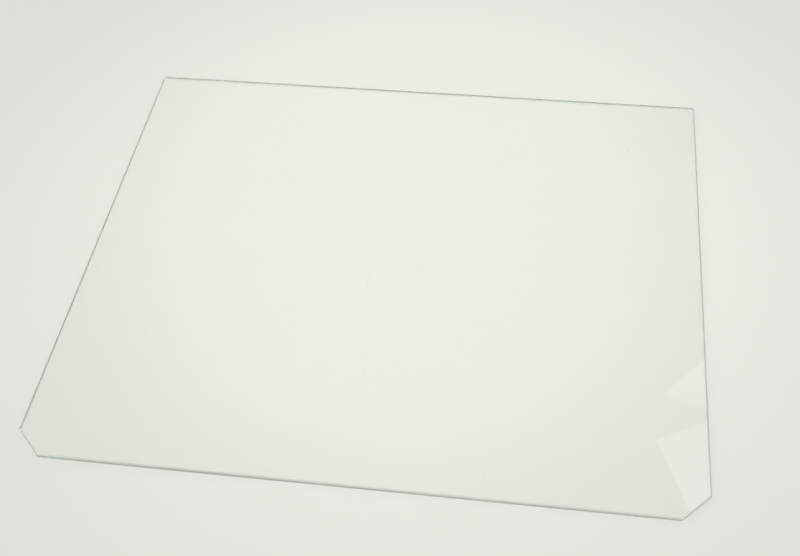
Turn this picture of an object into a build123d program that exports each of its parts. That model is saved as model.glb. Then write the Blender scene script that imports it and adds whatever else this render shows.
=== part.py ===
"""Refrigerator shelf: one pane of clear toughened float glass.

The pane is a rectangle with its two front corners clipped off at 45 degrees. Its upright corners are
dubbed to a small radius, and the rims of both faces carry a ground arris, so that no edge is sharp.

Frame, in millimetres: the origin is at the middle of the underside, +X runs to the right, +Y to the
rear of the refrigerator and +Z up. The clipped corners are at the front, towards -Y.
"""

import os

from build123d import *

# Driving dimensions of the pane
pane_width = 470.0  # side to side
pane_depth = 400.0  # front to rear
glass_thickness = 4.0  # a stock thickness of float glass

# Driving dimensions of its worked edges
front_clip = 19.0  # leg of the 45 degree clip, along the front edge and along the side
corner_dub = 1.5  # radius of each upright corner
rim_arris = 0.6  # leg of the 45 degree arris along both rims

# The glass pane: outline, clipped corners, dubbed corners, thickness, then the ground arrises
with BuildPart() as glass_pane:
    with BuildSketch(Plane.XY) as outline:
        Rectangle(pane_width, pane_depth)
        front_corners = outline.vertices().group_by(Axis.Y)[0]
        chamfer(front_corners, length=front_clip)
        fillet(outline.vertices(), radius=corner_dub)
    extrude(amount=glass_thickness)
    underside, top_face = glass_pane.faces().filter_by(Axis.Z).sort_by(Axis.Z)
    rims = underside.edges() + top_face.edges()
    chamfer(rims, length=rim_arris)
glass_pane.part.label = "glass_pane"

os.makedirs("parts", exist_ok=True)
export_step(glass_pane.part, "parts/glass_pane.step")
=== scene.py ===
"""Looks of a refrigerator's glass shelf: one pane of toughened float glass lying on a pale floor.

The pane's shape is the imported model's own. This script gives it its glass, and makes the floor, the soft
studio light and the camera. Lengths are in metres and places are in the part's own frame: +X to the
right, +Y to the rear edge, +Z up, with the origin at the middle of the pane's underside.
"""

import math

import bpy
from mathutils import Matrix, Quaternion, Vector


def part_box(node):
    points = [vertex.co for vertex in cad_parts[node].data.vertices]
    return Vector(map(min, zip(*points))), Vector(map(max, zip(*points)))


MM = 0.001

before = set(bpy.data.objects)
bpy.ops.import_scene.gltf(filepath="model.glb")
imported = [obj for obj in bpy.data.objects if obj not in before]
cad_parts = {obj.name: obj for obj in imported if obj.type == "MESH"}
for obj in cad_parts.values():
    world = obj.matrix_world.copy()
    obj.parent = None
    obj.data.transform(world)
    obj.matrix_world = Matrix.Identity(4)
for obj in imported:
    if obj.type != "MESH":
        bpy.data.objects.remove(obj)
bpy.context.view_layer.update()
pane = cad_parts["glass_pane"]
pane_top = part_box("glass_pane")[1].z

# Camera: where the lens stands, the point of the pane's face that it looks at, and its tilt to one side
camera_place = Vector((0.1095, -0.5848, 0.6682))
camera_aim = Vector((0.0093, -0.0175, pane_top))
camera_roll = math.radians(-3.14)
camera_lens_mm = 52.1
camera_sensor_mm = 36.0

# Float glass: how it refracts, and the green that the iron in it leaves of the light
glass_ior = 1.52
iron_colour = "#AADAC0"
iron_density = 14.0

# Ground edges: the slopes to which their crown turns, down at the lower rim and up at the upper rim, the
# grooves that the wheel leaves along them, and the share of light that the white bloom scatters
edge_crown = (0.6, 1.0)
edge_colour = "#F3F3F0"
edge_roughness = (0.70, 0.90)
groove_length = 25 * MM
groove_spacing = 0.4 * MM  # coarser than a real wheel's, to show at all
groove_depth = 0.05 * MM
bloom_shares = (0.12, 0.34)

# Marks of use on the faces. Streaks and scratches lie along the heading of the wiping
wipe_heading = (0.0, 0.0, math.radians(100))
streak_size = (90 * MM, 6 * MM, 1.0)
streak_roughness = 0.06
scratch_spread = (80 * MM, 50 * MM, 1.0)  # a stroke's length, and the way across to the next one
scratch_width = 0.3 * MM  # far wider than a real one's, to show at all
scratch_bow = 0.5  # how far a scratch strays, as a share of the way to the next one
scratch_wear = (0.54, 0.74)  # the band of a noise over which a scratch fades in
scratch_cover = 0.035  # the share of light that it scatters
dust_grid = 60 * MM
dust_share = 1 / 16  # of the grid's cells have a speck
dust_radii = (0.45 * MM, 0.7 * MM)  # of a speck's core and of its faded rim
dust_colour = "#EEEEE9"
dust_cover = 0.17  # the share of light that it scatters
face_margin = 0.05 * MM  # dust and scratches lie no further than this below the pane's top

# Floor
floor_gap = 0.3 * MM  # air that the table top's grain leaves under the glass
floor_reach = 30.0  # half side of the floor
# The floor's colour in the middle of a painted pool of light, and the darker colour of painted shade where
# the pool fades out at its rim
floor_colour = "#EDEFE8"
floor_painted_dim_rim_colour = "#DEE0DA"
floor_painted_glow = 0.7  # the share of the floor's brightness that is a painted glow, seen but lighting nothing, which keeps its shadows shallow
painted_pool_middle = Vector((0.015, 0.06, 0.0))
painted_pool_inner = 0.17  # from here outwards the painted pool of light fades to the darker rim colour
painted_pool_outer = 0.46

# Key light: a softbox in front of the pane and above the camera. A room with a radiance of 1 all round
# would light white to 1
key_place = Vector((0.15, -1.60, 2.10))
key_aim = Vector((0.0, 0.0, 0.0))
key_size = (2.40, 2.00)
key_radiance = 0.7

# Pale room, as shares of the floor's painted dim rim colour: 1 at the skyline, where it meets the floor,
# then lighter with height, lighter still towards the front and darker towards the rear
room_rise = 0.22
room_front = 0.82
# Round lamp with a soft rim, high behind the pane, where its face mirrors it to the camera
lamp_towards = Vector((-0.12, 0.68, 0.72)).normalized()
lamp_radiance = 0.85
lamp_inner = math.radians(3)
lamp_outer = math.radians(17)

# Bright cards whose mirror images show in the pane's right front corner: the height at which they hang,
# the outline of each image, as points of the pane's plane, and how bright each card is. They fade towards
# the line that parts them, so each has its radiance there and at its far end
card_height = 1.45
card_parting = -0.119
card_radiances = {"upper_card": (0.97, 1.27), "lower_card": (1.00, 1.55)}
card_images = {
    "upper_card": ((0.204, -0.105), (0.247, -0.056), (0.300, -0.100), (0.264, -0.123)),
    "lower_card": ((0.200, -0.142), (0.246, -0.116), (0.276, -0.190), (0.227, -0.211)),
}
# Standing cards, which the pane mirrors to whoever looks from another side: the ends of each card's foot,
# how far its head stands beside its foot, the heights of both, and the radiance there
standing_cards = {
    "right_card": ((2.5, -0.55), (2.5, 0.05)),
    "left_card": ((-2.5, 0.55), (-2.5, -0.05)),
    "rear_card": ((-0.55, 2.5), (0.05, 2.5)),
}
standing_slant = 0.7  # as a share of the foot's length
standing_heights = (0.40, 1.50)
standing_radiance = (0.77, 1.10)


def linear(hex_colour, alpha=1.0):
    """The linear colour of an sRGB hex value such as #E8EAE3."""
    shares = [int(hex_colour[i : i + 2], 16) / 255 for i in (1, 3, 5)]
    colour = [c / 12.92 if c <= 0.04045 else ((c + 0.055) / 1.055) ** 2.4 for c in shares]
    return (*colour, alpha)


def add(tree, kind, inputs=None, **settings):
    """Adds a node with its settings. An input that is a socket is linked, and any other value is set."""
    node = tree.nodes.new(kind)
    for name, value in settings.items():
        setattr(node, name, value)
    for name, value in (inputs or {}).items():
        if isinstance(value, bpy.types.NodeSocket):
            tree.links.new(value, node.inputs[name])
        else:
            node.inputs[name].default_value = value
    return node


def new_material(name):
    """An empty node material and its tree."""
    material = bpy.data.materials.new(name)
    material.use_nodes = True
    material.node_tree.nodes.clear()
    return material, material.node_tree


def toughened_float_glass():
    """Soda-lime float glass, toughened, with ground edges.

    The two faces are fire-polished, so they mirror the room crisply and show the floor undimmed, with a
    green cast from the iron in the glass that deepens with the way through it. The edges and their
    arrises are ground with a fine wheel, so they scatter light and read as a grey green satin line.
    """
    material, tree = new_material("toughened_float_glass")
    geometry = add(tree, "ShaderNodeNewGeometry")
    normal = geometry.outputs["True Normal"]
    place = add(tree, "ShaderNodeTexCoord").outputs["Object"]
    height = add(tree, "ShaderNodeSeparateXYZ", {0: place}).outputs["Z"]

    # Ground edges are where the surface doesn't face straight up or down
    facing = add(tree, "ShaderNodeSeparateXYZ", {0: normal}).outputs["Z"]
    upright = add(tree, "ShaderNodeMath", {0: facing}, operation="ABSOLUTE").outputs[0]
    ground = add(
        tree,
        "ShaderNodeMapRange",
        {"Value": upright, "From Min": 0.98, "From Max": 0.90, "To Min": 0.0, "To Max": 1.0},
    ).outputs[0]

    # The wheel leaves the edge a little crowned, so from rim to rim its surface turns from down to up.
    # Seen from within the glass the normal points inwards, so there the lean is turned round
    lean = add(
        tree,
        "ShaderNodeMapRange",
        {"Value": height, "From Max": pane_top, "To Min": -edge_crown[0], "To Max": edge_crown[1]},
    ).outputs[0]
    ground_lean = add(tree, "ShaderNodeMath", {0: lean, 1: ground}, operation="MULTIPLY").outputs[0]
    side = add(
        tree,
        "ShaderNodeMath",
        {0: geometry.outputs["Backfacing"], 1: -2.0, 2: 1.0},
        operation="MULTIPLY_ADD",
    ).outputs[0]
    sided_lean = add(tree, "ShaderNodeMath", {0: ground_lean, 1: side}, operation="MULTIPLY").outputs[0]
    upwards = add(tree, "ShaderNodeCombineXYZ", {"Z": sided_lean}).outputs[0]
    leaning = add(tree, "ShaderNodeVectorMath", {0: normal, 1: upwards}, operation="ADD").outputs[0]
    crowned = add(tree, "ShaderNodeVectorMath", {0: leaning}, operation="NORMALIZE").outputs[0]

    # Grinding grooves run along the edge. Between them lies a fine white bloom, which scatters light back
    # instead of letting it through
    groove_grid = add(
        tree,
        "ShaderNodeMapping",
        {"Vector": place, "Scale": (1 / groove_length, 1 / groove_length, 1 / groove_spacing)},
    ).outputs[0]
    grooves = add(
        tree,
        "ShaderNodeTexNoise",
        {"Vector": groove_grid, "Scale": 1.0, "Detail": 3.0, "Roughness": 0.6},
    ).outputs["Fac"]
    ground_roughness = add(
        tree,
        "ShaderNodeMapRange",
        {"Value": grooves, "To Min": edge_roughness[0], "To Max": edge_roughness[1]},
    ).outputs[0]
    bloom = add(
        tree,
        "ShaderNodeMapRange",
        {
            "Value": grooves,
            "From Min": 0.30,
            "From Max": 0.70,
            "To Min": bloom_shares[0],
            "To Max": bloom_shares[1],
        },
    ).outputs[0]
    edge_bloom = add(tree, "ShaderNodeMath", {0: bloom, 1: ground}, operation="MULTIPLY").outputs[0]

    # Wiping to and fro leaves a thin haze on the faces, in streaks
    wipe_grid = add(
        tree,
        "ShaderNodeMapping",
        {"Vector": place, "Rotation": wipe_heading, "Scale": streak_size},
        vector_type="TEXTURE",
    ).outputs[0]
    wipes = add(
        tree,
        "ShaderNodeTexNoise",
        {"Vector": wipe_grid, "Scale": 1.0, "Detail": 4.0, "Roughness": 0.55},
    ).outputs["Fac"]
    face_roughness = add(
        tree,
        "ShaderNodeMapRange",
        {"Value": wipes, "From Min": 0.45, "From Max": 0.8, "To Min": 0.0, "To Max": streak_roughness},
    ).outputs[0]

    # A few specks of dust lie on the upper face, each in a cell of a grid
    upper = add(
        tree, "ShaderNodeMath", {0: height, 1: pane_top - face_margin}, operation="GREATER_THAN"
    ).outputs[0]
    cells = add(
        tree,
        "ShaderNodeTexVoronoi",
        {"Vector": place, "Scale": 1 / dust_grid},
        voronoi_dimensions="2D",
    )
    grain = add(
        tree,
        "ShaderNodeMapRange",
        {
            "Value": cells.outputs["Distance"],
            "From Min": dust_radii[1] / dust_grid,
            "From Max": dust_radii[0] / dust_grid,
        },
    ).outputs[0]
    lot = add(tree, "ShaderNodeSeparateColor", {0: cells.outputs["Color"]}).outputs[0]
    chosen = add(tree, "ShaderNodeMath", {0: lot, 1: 1 - dust_share}, operation="GREATER_THAN").outputs[0]
    scattered = add(tree, "ShaderNodeMath", {0: grain, 1: chosen}, operation="MULTIPLY").outputs[0]
    dust = add(tree, "ShaderNodeMath", {0: scattered, 1: upper}, operation="MULTIPLY").outputs[0]

    # Wiping also leaves hairline scratches there, slightly bowed and broken into strokes
    stroke = add(
        tree,
        "ShaderNodeMapping",
        {"Vector": place, "Rotation": wipe_heading, "Scale": scratch_spread},
        vector_type="TEXTURE",
    ).outputs[0]
    stroke_axes = add(tree, "ShaderNodeSeparateXYZ", {0: stroke})
    bow = add(
        tree,
        "ShaderNodeTexNoise",
        {"W": stroke_axes.outputs["X"], "Scale": 0.4, "Detail": 0.0},
        noise_dimensions="1D",
    ).outputs["Fac"]
    across = add(
        tree,
        "ShaderNodeMath",
        {0: bow, 1: scratch_bow, 2: stroke_axes.outputs["Y"]},
        operation="MULTIPLY_ADD",
    ).outputs[0]
    lanes = add(tree, "ShaderNodeTexVoronoi", {"W": across, "Scale": 1.0}, voronoi_dimensions="1D")
    hairlines = add(
        tree,
        "ShaderNodeMath",
        {0: lanes.outputs["Distance"], 1: scratch_width / 2 / scratch_spread[1]},
        operation="LESS_THAN",
    ).outputs[0]
    turn = add(
        tree,
        "ShaderNodeCombineXYZ",
        {"X": stroke_axes.outputs["X"], "Y": lanes.outputs["W"]},
    ).outputs[0]
    wear = add(
        tree,
        "ShaderNodeTexNoise",
        {"Vector": turn, "Scale": 1.0, "Detail": 0.0},
        noise_dimensions="2D",
    ).outputs["Fac"]
    worn = add(
        tree,
        "ShaderNodeMapRange",
        {"Value": wear, "From Min": scratch_wear[0], "From Max": scratch_wear[1]},
    ).outputs[0]
    broken_lines = add(tree, "ShaderNodeMath", {0: hairlines, 1: worn}, operation="MULTIPLY").outputs[0]
    scratches = add(tree, "ShaderNodeMath", {0: broken_lines, 1: upper}, operation="MULTIPLY").outputs[0]

    # What dust, scratches and bloom scatter, they don't let through
    dimmed = add(
        tree,
        "ShaderNodeMath",
        {0: scratches, 1: scratch_cover, 2: edge_bloom},
        operation="MULTIPLY_ADD",
    ).outputs[0]
    opaque = add(
        tree, "ShaderNodeMath", {0: dust, 1: dust_cover, 2: dimmed}, operation="MULTIPLY_ADD"
    ).outputs[0]
    clearness = add(tree, "ShaderNodeMath", {0: 1.0, 1: opaque}, operation="SUBTRACT").outputs[0]
    edge_tint = add(
        tree,
        "ShaderNodeMix",
        {"Factor": ground, 6: linear("#FFFFFF"), 7: linear(edge_colour)},
        data_type="RGBA",
    ).outputs[2]
    tint = add(
        tree,
        "ShaderNodeMix",
        {"Factor": dust, 6: edge_tint, 7: linear(dust_colour)},
        data_type="RGBA",
    ).outputs[2]
    roughness = add(
        tree, "ShaderNodeMix", {"Factor": ground, "A": face_roughness, "B": ground_roughness}
    ).outputs[0]
    groove_height = add(tree, "ShaderNodeMath", {0: grooves, 1: ground}, operation="MULTIPLY").outputs[0]
    bump = add(
        tree,
        "ShaderNodeBump",
        {"Height": groove_height, "Strength": 0.6, "Distance": groove_depth, "Normal": crowned},
    ).outputs[0]
    glass = add(
        tree,
        "ShaderNodeBsdfPrincipled",
        {
            "Base Color": tint,
            "Transmission Weight": clearness,
            "IOR": glass_ior,
            "Roughness": roughness,
            "Normal": bump,
        },
    ).outputs[0]
    iron_green = add(
        tree, "ShaderNodeVolumeAbsorption", {"Color": linear(iron_colour), "Density": iron_density}
    ).outputs[0]
    add(tree, "ShaderNodeOutputMaterial", {"Surface": glass, "Volume": iron_green})
    return material


def table_top_with_painted_light():
    """Matt pale table top, with painted light and no gloss.

    Most of its brightness is a painted glow, which keeps its shadows shallow, and a painted pool of light
    fades outwards to a darker rim.
    """
    material, tree = new_material("table_top_with_painted_light")
    place = add(tree, "ShaderNodeTexCoord").outputs["Object"]
    from_middle = add(
        tree, "ShaderNodeVectorMath", {0: place, 1: painted_pool_middle}, operation="DISTANCE"
    ).outputs["Value"]
    # Painted pool of light: the floor's colour darkens from the middle outwards to the rim colour
    painted_falloff = add(
        tree,
        "ShaderNodeMapRange",
        {"Value": from_middle, "From Min": painted_pool_inner, "From Max": painted_pool_outer},
        interpolation_type="SMOOTHSTEP",
    ).outputs[0]
    painted_pool_colour = add(
        tree,
        "ShaderNodeMix",
        {"Factor": painted_falloff, 6: linear(floor_colour), 7: linear(floor_painted_dim_rim_colour)},
        data_type="RGBA",
    ).outputs[2]
    matt = add(tree, "ShaderNodeBsdfDiffuse", {"Color": painted_pool_colour}).outputs[0]
    glow = add(tree, "ShaderNodeEmission", {"Color": painted_pool_colour, "Strength": 1.0}).outputs[0]
    # The glow is painted light: it shows to the camera, also through the glass, and lights nothing, which
    # keeps the floor's shadows shallow
    scattered = add(tree, "ShaderNodeLightPath").outputs["Diffuse Depth"]
    painted_glow_share = add(
        tree,
        "ShaderNodeMapRange",
        {"Value": scattered, "From Min": 0.0, "From Max": 1.0, "To Min": floor_painted_glow, "To Max": 0.0},
    ).outputs[0]
    floor_with_painted_light = add(tree, "ShaderNodeMixShader", {0: painted_glow_share, 1: matt, 2: glow}).outputs[0]
    add(tree, "ShaderNodeOutputMaterial", {"Surface": floor_with_painted_light})
    material.cycles.emission_sampling = "NONE"
    return material


def flat_plate(name, corners, material):
    """One flat face through the corners, as part of the stage."""
    mesh = bpy.data.meshes.new(name)
    mesh.from_pydata([tuple(c) for c in corners], [], [tuple(range(len(corners)))])
    mesh.materials.append(material)
    plate = bpy.data.objects.new(name, mesh)
    bpy.context.scene.collection.objects.link(plate)
    return plate


def lit_card(name, corners, start, end, radiance):
    """A white card that shows only in mirror images. Its radiance changes evenly from start to end."""
    material, tree = new_material("lit_" + name)
    place = add(tree, "ShaderNodeTexCoord").outputs["Object"]
    from_start = add(
        tree, "ShaderNodeVectorMath", {0: place, 1: start}, operation="SUBTRACT"
    ).outputs[0]
    way = end - start
    along = add(tree, "ShaderNodeVectorMath", {0: from_start, 1: way}, operation="DOT_PRODUCT")
    strength = add(
        tree,
        "ShaderNodeMapRange",
        {
            "Value": along.outputs["Value"],
            "From Max": way.length_squared,
            "To Min": radiance[0],
            "To Max": radiance[1],
        },
    ).outputs[0]
    glow = add(
        tree, "ShaderNodeEmission", {"Color": linear("#FFFFFF"), "Strength": strength}
    ).outputs[0]
    add(tree, "ShaderNodeOutputMaterial", {"Surface": glow})
    material.cycles.emission_sampling = "NONE"
    card = flat_plate(name, corners, material)
    card.visible_camera = False
    card.visible_diffuse = False
    card.visible_shadow = False


def mirrored(x, y, height):
    """The point at that height that the camera sees mirrored at (x, y) of the pane's upper face."""
    spot = Vector((x, y, pane_top))
    sight = spot - camera_place
    climb = (height - pane_top) / -sight.z
    return spot + climb * Vector((sight.x, sight.y, -sight.z))


def key_softbox():
    """A rectangular lamp that shines at the pane and isn't itself seen."""
    lamp = bpy.data.lights.new("key_softbox", "AREA")
    lamp.shape = "RECTANGLE"
    lamp.size, lamp.size_y = key_size
    lamp.energy = key_radiance * math.pi * key_size[0] * key_size[1]
    box = bpy.data.objects.new("key_softbox", lamp)
    box.location = key_place
    box.rotation_mode = "QUATERNION"
    box.rotation_quaternion = (key_aim - key_place).to_track_quat("-Z", "Y")
    box.visible_camera = False
    bpy.context.scene.collection.objects.link(box)


def mirror_cards():
    """The cards that the pane mirrors: two that hang over it, and three that stand around it."""
    for name, outline in card_images.items():
        corners = [mirrored(x, y, card_height) for x, y in outline]
        far_y = max((y for _, y in outline), key=lambda y: abs(y - card_parting))
        parting, far_end = (mirrored(0.0, y, card_height) for y in (card_parting, far_y))
        lit_card(name, corners, parting, far_end, card_radiances[name])
    foot, head = standing_heights
    for name, ends in standing_cards.items():
        first, last = (Vector((*end, foot)) for end in ends)
        rise = standing_slant * (last - first) + Vector((0.0, 0.0, head - foot))
        corners = [first, last, last + rise, first + rise]
        lit_card(name, corners, first, Vector((*ends[0], head)), standing_radiance)


def pale_room():
    """The light of the room around the pane: a pale gradient, with a round lamp in it."""
    world = bpy.data.worlds.new("pale_room")
    bpy.context.scene.world = world
    world.use_nodes = True
    tree = world.node_tree
    tree.nodes.clear()
    towards = add(tree, "ShaderNodeTexCoord").outputs["Generated"]
    height = add(tree, "ShaderNodeVectorMath", {0: towards, 1: (0, 0, 1)}, operation="DOT_PRODUCT")
    to_front = add(tree, "ShaderNodeVectorMath", {0: towards, 1: (0, -1, 0)}, operation="DOT_PRODUCT")
    rise = add(
        tree,
        "ShaderNodeMath",
        {0: to_front.outputs["Value"], 1: room_front, 2: room_rise},
        operation="MULTIPLY_ADD",
    )
    walls = add(
        tree,
        "ShaderNodeMath",
        {0: height.outputs["Value"], 1: rise.outputs[0], 2: 1.0},
        operation="MULTIPLY_ADD",
    )
    nearness = add(
        tree, "ShaderNodeVectorMath", {0: towards, 1: lamp_towards}, operation="DOT_PRODUCT"
    )
    lamp = add(
        tree,
        "ShaderNodeMapRange",
        {
            "Value": nearness.outputs["Value"],
            "From Min": math.cos(lamp_outer),
            "From Max": math.cos(lamp_inner),
            "To Min": 0.0,
            "To Max": lamp_radiance,
        },
        interpolation_type="SMOOTHSTEP",
    )
    radiance = add(tree, "ShaderNodeMath", {0: walls.outputs[0], 1: lamp.outputs[0]}, operation="ADD")
    room = add(
        tree,
        "ShaderNodeBackground",
        {"Color": linear(floor_painted_dim_rim_colour), "Strength": radiance.outputs[0]},
    )
    add(tree, "ShaderNodeOutputWorld", {"Surface": room.outputs[0]})


def photograph_camera():
    """The camera at the photograph's viewing angle."""
    lens = bpy.data.cameras.new("camera")
    lens.lens = camera_lens_mm
    lens.sensor_width = camera_sensor_mm
    camera = bpy.data.objects.new("camera", lens)
    camera.location = camera_place
    camera.rotation_mode = "QUATERNION"
    level_aim = (camera_aim - camera_place).to_track_quat("-Z", "Y")
    camera.rotation_quaternion = level_aim @ Quaternion((0, 0, 1), camera_roll)
    bpy.context.scene.collection.objects.link(camera)
    bpy.context.scene.camera = camera


pane.data.materials[0] = toughened_float_glass()

# The stage around the pane
turns = ((-1, -1), (1, -1), (1, 1), (-1, 1))
floor_corners = [(x * floor_reach, y * floor_reach, -floor_gap) for x, y in turns]
flat_plate("floor", floor_corners, table_top_with_painted_light())
key_softbox()
mirror_cards()
pale_room()
photograph_camera()

bpy.context.scene.view_settings.view_transform = "Standard"
# Light runs along the pane between its faces, so an edge needs many inner reflections to fill with it
bpy.context.scene.cycles.max_bounces = 48
bpy.context.scene.cycles.glossy_bounces = 40
bpy.context.scene.cycles.transmission_bounces = 24
bpy.context.scene.cycles.blur_glossy = 0.0
